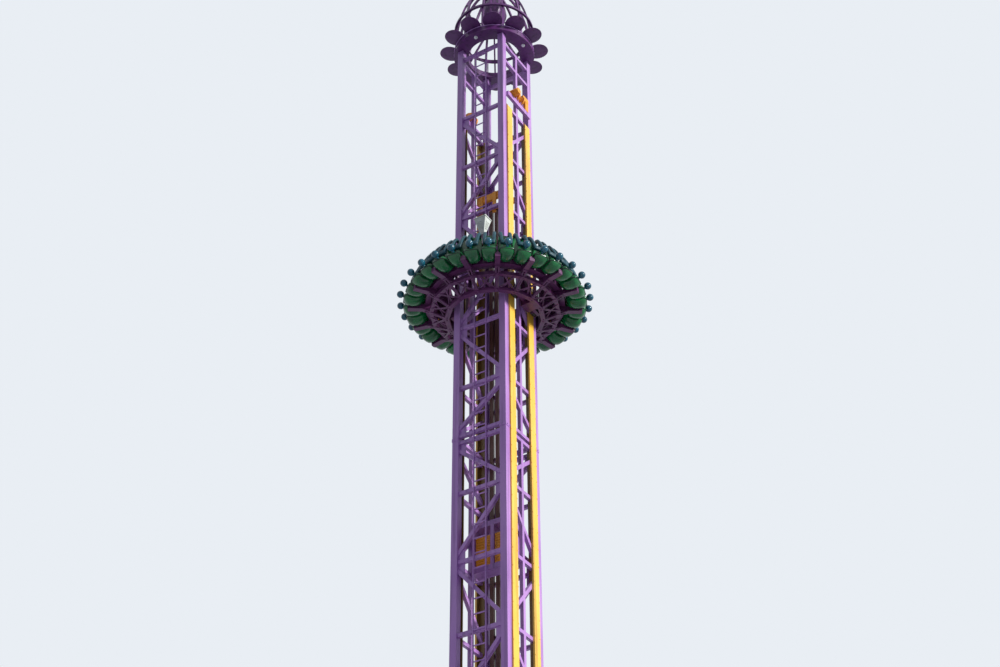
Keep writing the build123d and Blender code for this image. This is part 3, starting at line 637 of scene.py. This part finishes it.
def makeCrown(values):
    leaf = newShape()
    tilt = radians(values["petalTilt"])
    length = (values["petalTip"] - values["petalRoot"]) / cos(tilt)
    rings = []
    for i in range(values["petalSteps"] + 1):
        turn = pi * i / values["petalSteps"]
        along = length * (1 - cos(turn)) / 2
        halfWidth = max(values["petalHalf"] * sin(turn), values["petalEnd"])
        ring = []
        steps = values["petalColumns"]
        for j in list(range(steps + 1)) + list(range(steps, -1, -1)):  # along the underside and back over the top
            top = len(ring) > steps
            side = 2 * j / steps - 1
            rise = values["petalCurl"] * side ** 2 * sin(turn)
            rise += values["petalRidge"] * max(0.0, 1 - abs(side) * values["ridgeFall"])
            rise += values["petalThick"] * (1 - 0.5 * side ** 2) if top else 0.0
            ring.append((values["petalRoot"] + along * cos(tilt) - rise * sin(tilt), side * halfWidth,
                         values["ringTop"] + along * sin(tilt) + rise * cos(tilt)))
        rings.append(ring)
    loft(leaf, rings)
    rings = []
    for along in values["petalFoot"]:
        rise = max(along * sin(tilt), values["petalFootLow"]) + values["petalFootRise"]
        section = roundSection(values["petalFootHalf"], rise / 2, values["petalFootRound"], values["petalFootPoints"])
        rings.append([(values["petalRoot"] + along, y, values["ringTop"] + z + rise / 2) for y, z in section])
    loft(leaf, rings)
    ringPiece("petalLeaves", leaf, "crownPurple", values["petals"], 0.0, "tower", "crown_paint", "petals")

    bud = newShape()
    rings = []
    for radius, height in values["bud"]:
        ring = []
        for j in range(values["budPoints"]):
            turn = 2 * pi * j / values["budPoints"]
            crease = (1 - abs(cos(turn * values["lobes"] / 2))) ** 2
            bulge = 1 - values["lobeDepth"] * crease * min(1.0, height / values["lobeRise"])
            ring.append((radius * bulge * cos(turn), radius * bulge * sin(turn), values["budFoot"] + height))
        rings.append(ring)
    loft(bud, rings)
    settle(makePiece("crownBud", bud, "crownPurple", values["budSharp"]), "tower", "crown_paint", "crown_core")

    bead = newShape()
    ringTube(bead, values["ringRadius"], values["ringTop"] - values["beadRadius"], values["beadRadius"],
             values["beadSteps"], values["beadSides"])
    # painted highlight: the bead takes the paler tower paint in place of the crown's own, to show the ring's lit top
    # edge
    settle(makePiece("ringHighlightBeads", bead, "towerPurple"), "tower", "crown_paint")

    lamps = newShape()
    for turn in values["lampTurns"]:
        spot = polar(values["lampReach"], turn, values["lampTop"])
        lathe(lamps, values["lamp"], values["lampSides"], Matrix.Translation(spot))
    settle(makePiece("ringLamps", lamps, "lampPale"), "tower", "crown_paint")


# supply pipes that lie on the arms behind the seats, with saddles over each arm
pipes = {"reaches": (1.048, 1.074), "level": 17.715, "radius": 0.010, "steps": 128, "sides": 10,
         "arms": 16, "armStart": 11.25, "saddleOver": (0.016, 0.014), "saddleHalf": (0.012, 0.0135),
         "saddleRound": 3.0, "saddlePoints": 14, "saddleSteps": (-1.0, -0.9, 0.9, 1.0)}


def makePipes(values):
    shape = newShape()
    for reach in values["reaches"]:
        ringTube(shape, reach, values["level"], values["radius"], values["steps"], values["sides"])
    settle(makePiece("supplyPipes", shape, "rideMaroon"), "ride", "purple_paint")
    saddle = newShape()
    low, high = values["reaches"][0] - values["saddleOver"][0], values["reaches"][1] + values["saddleOver"][1]
    section = roundSection(*values["saddleHalf"], values["saddleRound"], values["saddlePoints"])
    loft(saddle, [[(low + (high - low) * (x + 1) / 2, y, values["level"] + z) for y, z in section]
                  for x in values["saddleSteps"]])
    ringPiece("pipeSaddles", saddle, "hoistOrange", values["arms"], values["armStart"], "ride", "orange_paint")


# knee braces under the arms and slim ties that cross from arm to arm, for one sector
knees = {"arms": 16, "armStart": 11.25, "kneeTop": (1.20, 17.612), "kneeFoot": (0.862, 17.452), "kneeRadius": 0.014,
         "kneeSpread": (0.026, 0.010), "kneeSides": 12, "tieTop": (1.135, 17.604), "tieFoot": (0.868, 17.462),
         "tieRadius": 0.010, "tieSpread": 0.03, "tieShare": 0.86, "tieSides": 10, "pitch": 22.5,
         "lugHalf": (0.022, 0.014), "lugRound": 3.0, "lugPoints": 14, "lugSteps": (-0.042, -0.038, 0.038, 0.042)}


def makeKnees(values):
    shape = newShape()
    for side in (-1, 1):
        start = (values["kneeTop"][0], side * values["kneeSpread"][0], values["kneeTop"][1])
        stop = (values["kneeFoot"][0], side * values["kneeSpread"][1], values["kneeFoot"][1])
        tube(shape, [start, stop], [values["kneeRadius"]] * 2, values["kneeSides"])
        tieStart = (values["tieTop"][0], side * values["tieSpread"], values["tieTop"][1])
        tieStop = polar(values["tieFoot"][0], side * values["pitch"] * values["tieShare"], values["tieFoot"][1])
        tube(shape, [tieStart, tieStop], [values["tieRadius"]] * 2, values["tieSides"])
    section = roundSection(*values["lugHalf"], values["lugRound"], values["lugPoints"])
    for reach, level in (values["kneeTop"], values["kneeFoot"]):
        loft(shape, [[(reach + x, y, level + z) for x, z in section] for y in values["lugSteps"]])
    ringPiece("kneeBraces", shape, "rideMaroon", values["arms"], values["armStart"], "ride", "purple_paint")


# housing: a lid with a turned edge, and louvres on two faces
housing = {"middle": (0.285, -0.845), "half": (0.115, 0.100), "top": 18.91, "slope": 13.0,
           "lid": ((0.004, -0.022), (0.006, -0.020), (0.006, -0.004), (0.002, 0.0), (-0.03, 0.003)),  # growth, height
           "lidRound": 14.0, "lidPoints": 40, "louvres": 6, "firstLouvre": 0.10, "pitch": 0.026,
           "louvre": ((-0.004, 0.008), (0.0, 0.008), (0.006, -0.004), (-0.004, -0.006)),  # reach, rise
           "louvreEnds": ((-0.62, 0.4), (-0.58, 1.0), (0.58, 1.0), (0.62, 0.4))}  # share of the width, of the reach


def makeHousing(values):
    shape = newShape()
    cx, cy = values["middle"]
    hx, hy = values["half"]
    rings = []
    for grow, height in values["lid"]:
        section = roundSection(hx + grow, hy + grow, values["lidRound"], values["lidPoints"])
        rings.append([(cx + x, cy + y, values["top"] + height) for x, y in section])
    loft(shape, rings)
    for i in range(values["louvres"]):
        down = values["firstLouvre"] + i * values["pitch"]
        inset = down * tan(radians(values["slope"]))
        z = values["top"] - down
        front, right = [], []
        for along, grow in values["louvreEnds"]:
            rows = [(min(reach, reach * grow), z + rise) for reach, rise in values["louvre"]]
            front.append([(cx + along * (hx - inset), cy - (hy - inset) - reach, level) for reach, level in rows])
            right.append([(cx + (hx - inset) + reach, cy + along * (hy - inset), level) for reach, level in rows])
        loft(shape, front)
        loft(shape, right)
    settle(makePiece("housingTrim", shape, "cabinetGrey"), "ride", "housing_paint")


# hoist gear: an anchor bracket on the front bracing, and a finned case and a post on the right sheave beam
gear = {"edge": 0.004, "anchorBlocks": (((-0.065, -0.4125, 19.41), (0.005, -0.3925, 19.891)),
                                        ((0.210, -0.4125, 19.41), (0.280, -0.3925, 19.891)),
                                        ((-0.130, -0.3935, 19.745), (0.310, -0.3425, 19.895))),
        "pins": ((-0.030, 19.785), (-0.030, 19.855), (0.245, 19.785), (0.245, 19.855)), "pinFace": -0.3445,
        "pin": ((0.003, 0.0), (0.020, 0.0), (0.020, 0.009), (0.016, 0.012), (0.003, 0.012)), "pinSides": 20,
        "postBlocks": (((0.4975, 0.215, 22.232), (0.5525, 0.315, 22.442)),
                       ((0.4935, 0.135, 22.440), (0.5565, 0.318, 22.545))),
        "caseSpot": (0.448, -0.220, 22.296), "caseSides": 32,
        "caseEnds": (((0.004, 0.0), (0.030, 0.0), (0.033, 0.003), (0.033, 0.024), (0.056, 0.027), (0.060, 0.032)),
                     ((0.060, 0.222), (0.056, 0.230), (0.004, 0.230))),
        "fins": 9, "finStart": 0.040, "finPitch": 0.020,
        "fin": ((0.056, 0.0), (0.065, 0.002), (0.065, 0.008), (0.056, 0.010))}
blockRound, blockPoints = 18.0, 24


# a block between two corners, with its top and bottom edges cut back
def chamferBlock(shape, low, high, inset, rise):
    middle = [(a + b) / 2 for a, b in zip(low, high)]
    half = [(b - a) / 2 for a, b in zip(low, high)]
    rings = []
    for cut, level in ((inset, low[2]), (0.0, low[2] + rise), (0.0, high[2] - rise), (inset, high[2])):
        section = roundSection(half[0] - cut, half[1] - cut, blockRound, blockPoints)
        rings.append([(middle[0] + x, middle[1] + y, level) for x, y in section])
    loft(shape, rings)


def makeGear(values):
    anchor, fittings, edge = newShape(), newShape(), values["edge"]
    for low, high in values["anchorBlocks"]:
        chamferBlock(anchor, low, high, edge, edge)
    for x, level in values["pins"]:
        turn = Matrix.Translation((x, values["pinFace"], level)) @ Matrix.Rotation(-pi / 2, 4, "X")
        lathe(anchor, values["pin"], values["pinSides"], turn)
    settle(makePiece("ropeAnchor", anchor, "hoistOrange"), "tower", "orange_paint")
    for low, high in values["postBlocks"]:
        chamferBlock(fittings, low, high, edge, edge)
    profile = list(values["caseEnds"][0])
    for i in range(values["fins"]):
        start = values["finStart"] + i * values["finPitch"]
        profile += [(radius, start + along) for radius, along in values["fin"]]
    profile += values["caseEnds"][1]
    turn = Matrix.Translation(values["caseSpot"]) @ Matrix.Rotation(pi / 2, 4, "Y")
    lathe(fittings, profile, values["caseSides"], turn)
    settle(makePiece("beamFittings", fittings, "hoistOrange"), "tower", "orange_paint")


# counterweight: stacked slabs with narrow gaps and a smaller core in place of each block
slabs = {"count": 11, "gap": 0.004, "near": 0.0345, "far": 0.002, "inset": 0.003, "rise": 0.004,
         "coreInset": 0.012, "coreLap": 0.001, "coreRound": 12.0, "corePoints": 24}


def makeSlabs(values):
    low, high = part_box("counterweight_blocks")
    shape = newShape()
    near, far, gap = values["near"], high[0] - values["far"], values["gap"]
    tall = (high[2] - low[2]) / values["count"]
    core = roundSection((far - near) / 2 - values["coreInset"], high[1] - values["coreInset"], values["coreRound"],
                        values["corePoints"])
    for left, right in ((-far, -near), (near, far)):
        for i in range(values["count"]):
            foot = low[2] + i * tall
            chamferBlock(shape, (left, -high[1], foot), (right, high[1], foot + tall - gap), values["inset"],
                         values["rise"])
            if i:
                loft(shape, [[((left + right) / 2 + x, y, level) for x, y in core]
                             for level in (foot - gap - values["coreLap"], foot + values["coreLap"])])
    settle(makePiece("weightSlabs", shape, "hoistOrange"), "counterweight", "orange_paint", "counterweight_blocks")


# carriages: a bolted cover plate with a raised rim on each post
covers = {"face": 0.650, "level": 18.36, "halfWide": 0.085, "halfTall": 0.175, "round": 10.0, "points": 36,
          "steps": ((-0.002, 0.0), (0.005, 0.0), (0.007, 0.002), (0.007, 0.016), (0.004, 0.019), (0.004, 0.060))}


def makeCovers(values):
    shape = newShape()
    for side in (-1, 1):
        rings = []
        for proud, inset in values["steps"]:
            outline = roundSection(values["halfWide"] - inset, values["halfTall"] - inset, values["round"],
                                   values["points"])
            rings.append([(side * (values["face"] + proud), y, values["level"] + z) for y, z in outline])
        loft(shape, rings)
    settle(makePiece("carriageCovers", shape, "rideMaroon"), "ride", "purple_paint")


# bolts along the rails, under the rings, on the carriages and deck, round the crown's ring and at the section collars
bolts = {"heads": {"railBolts": 0.007, "ringBolts": 0.010, "carriageBolts": 0.009, "crownBolts": 0.010,
                   "collarBolts": 0.009},
         "railFace": 0.525, "railSpread": 0.305, "railOffset": 0.070, "railFirst": 0.45, "railLast": 21.75,
         "railPitch": 0.3, "ringTurns": 16, "ringStart": 11.25, "ringLean": 1.696,  # degrees at a reach of 1 m
         "outerRing": (1.078, 17.545), "innerRing": (0.812, 17.425),
         "crownRing": (0.763, 23.762), "crownTurns": 24, "crownStart": 7.5,
         "collarLevels": (6.905, 14.903), "collarFace": 0.506, "collarOffsets": (0.4, 0.46),
         "yokeFace": 0.6703, "yokeLevels": (17.535, 18.58), "yokeRows": (0.15, 0.24, 0.345), "coverFace": 0.657,
         "coverRows": ((0.0755, 18.22), (0.0755, 18.36), (0.0755, 18.50)),
         "deckRows": (0.80, 1.10), "deckTop": 18.18, "deckLean": 8.5}


def makeBolts(values):
    heads = values["heads"]
    corners = [(x, y) for x in (-1, 1) for y in (-1, 1)]
    spots = []
    count = int((values["railLast"] - values["railFirst"]) / values["railPitch"]) + 1
    for x, y in corners:
        for offset in (-values["railOffset"], values["railOffset"]):
            for i in range(count):
                spots.append(((x * values["railFace"], y * values["railSpread"] + offset,
                               values["railFirst"] + i * values["railPitch"]), (x, 0, 0)))
    boltPiece("railBolts", spots, "railYellow", "tower", "rail_paint", heads)
    spots = []
    turns = [360 / values["ringTurns"] * i for i in range(values["ringTurns"])]
    for reach, level in (values["outerRing"], values["innerRing"]):
        lean = values["ringLean"] / reach
        for turn in turns:
            spots += [(polar(reach, values["ringStart"] + turn + side * lean, level), (0, 0, -1)) for side in (-1, 1)]
    boltPiece("ringBolts", spots, "rideMaroon", "ride", "purple_paint", heads)
    spots = []
    for x, y in corners:
        for row in values["yokeRows"]:
            spots += [((x * values["yokeFace"], y * row, level), (x, 0, 0)) for level in values["yokeLevels"]]
        spots += [((x * values["coverFace"], y * row, level), (x, 0, 0)) for row, level in values["coverRows"]]
    for reach in values["deckRows"]:
        for turn in turns:
            leans = (turn - values["deckLean"], turn + values["deckLean"])
            spots += [(polar(reach, lean, values["deckTop"]), (0, 0, 1)) for lean in leans]
    boltPiece("carriageBolts", spots, "rideMaroon", "ride", "purple_paint", heads)
    reach, level = values["crownRing"]
    turns = [values["crownStart"] + 360 / values["crownTurns"] * i for i in range(values["crownTurns"])]
    spots = [(polar(reach, turn, level), polar(1.0, turn, 0)) for turn in turns]
    boltPiece("crownBolts", spots, "crownPurple", "tower", "crown_paint", heads)
    spots = []
    for level in values["collarLevels"]:
        for x, y in corners:
            for offset in values["collarOffsets"]:
                spots.append(((x * offset, y * values["collarFace"], level), (0, y, 0)))
                spots.append(((x * values["collarFace"], y * offset, level), (x, 0, 0)))
    boltPiece("collarBolts", spots, "towerPurple", "tower", "purple_paint", heads)


makeSeats(seat)
makePommels(pommel)
makeRestraints(restraint)
print("seats, pommels and restraints made")
makeWheels(wheels)
makeCrown(crown)
print("wheels and crown made")
makePipes(pipes)
makeKnees(knees)
makeHousing(housing)
makeGear(gear)
makeSlabs(slabs)
makeCovers(covers)
makeBolts(bolts)
print("pipes, knees, housing, hoist gear, slabs, covers and bolts made")


# camera, from a fit of the lattice to the photograph
cameraFit = {"place": (11.66, -18.72, 0.80), "pitch": 36.54, "yaw": 31.71, "roll": -0.36, "focalPixels": 1636.6,
             "imageWidth": 1000.0, "sensor": 36.0, "clipEnd": 500.0}


def makeCamera(fit):
    data = bpy.data.cameras.new("photoCamera")
    data.sensor_width = fit["sensor"]
    data.lens = fit["focalPixels"] * fit["sensor"] / fit["imageWidth"]
    data.clip_end = fit["clipEnd"]
    camera = bpy.data.objects.new("photoCamera", data)
    pitch, yaw, roll = radians(fit["pitch"]), radians(fit["yaw"]), radians(fit["roll"])
    forward = Vector((-sin(yaw) * cos(pitch), cos(yaw) * cos(pitch), sin(pitch)))
    right = Vector((cos(yaw), sin(yaw), 0))
    up = right.cross(forward)
    turnedRight = cos(roll) * right + sin(roll) * up
    turnedUp = cos(roll) * up - sin(roll) * right
    basis = Matrix((turnedRight, turnedUp, -forward)).transposed()
    camera.matrix_world = Matrix.Translation(fit["place"]) @ basis.to_4x4()
    scene.collection.objects.link(camera)
    scene.camera = camera


# studio: a pale floor, a fill that is brighter above and one soft sun from the right
studio = {"floorSize": 40.0, "floorLevel": -0.001, "floorColour": "#d9dbdd", "floorRough": 0.9, "backdrop": "#e9eef4",
          "fill": "#dfe7ff", "fillAbove": 0.46, "fillBelow": 0.17, "fillBand": (-0.25, 0.35),
          "sunStrength": 4.2, "sunAngle": 6.0, "sunFrom": (1.0, 0.05, 0.39)}


def makeStudio(values):
    half = values["floorSize"] / 2
    mesh = bpy.data.meshes.new("floor")
    corners = ((-half, -half), (half, -half), (half, half), (-half, half))
    mesh.from_pydata([(x, y, values["floorLevel"]) for x, y in corners], [], [(0, 1, 2, 3)])
    floor = bpy.data.objects.new("floor", mesh)
    scene.collection.objects.link(floor)
    material = bpy.data.materials.new("floorPale")
    material.use_nodes = True
    shader = material.node_tree.nodes["Principled BSDF"]
    shader.inputs["Base Color"].default_value = fromHex(values["floorColour"])
    shader.inputs["Roughness"].default_value = values["floorRough"]
    mesh.materials.append(material)
    world = bpy.data.worlds.new("studio")
    world.use_nodes = True
    scene.world = world
    tree = world.node_tree
    tree.nodes.clear()
    rays = addNode(tree, "ShaderNodeLightPath").outputs
    seen = compute(tree, "MAXIMUM", rays["Is Camera Ray"], rays["Is Transmission Ray"])
    seen = compute(tree, "MAXIMUM", seen, rays["Is Glossy Ray"])  # these rays see the backdrop in place of the fill
    height = addNode(tree, "ShaderNodeSeparateXYZ")
    tree.links.new(addNode(tree, "ShaderNodeTexCoord").outputs["Generated"], height.inputs[0])
    strength = makeRange(tree, height.outputs["Z"], *values["fillBand"], values["fillBelow"], values["fillAbove"])
    mix = addNode(tree, "ShaderNodeMixShader")
    tree.links.new(seen, mix.inputs[0])
    for socket, name, power in ((mix.inputs[1], "fill", strength), (mix.inputs[2], "backdrop", 1.0)):
        sky = addNode(tree, "ShaderNodeBackground")
        feed(tree, sky.inputs["Color"], fromHex(values[name]))
        feed(tree, sky.inputs["Strength"], power)
        tree.links.new(sky.outputs[0], socket)
    tree.links.new(mix.outputs[0], addNode(tree, "ShaderNodeOutputWorld").inputs["Surface"])
    lamp = bpy.data.lights.new("sun", "SUN")
    lamp.energy = values["sunStrength"]
    lamp.angle = radians(values["sunAngle"])
    sun = bpy.data.objects.new("sun", lamp)
    sun.rotation_euler = Vector(values["sunFrom"]).to_track_quat("Z", "Y").to_euler()
    scene.collection.objects.link(sun)


makeCamera(cameraFit)
makeStudio(studio)
print("camera and studio set")
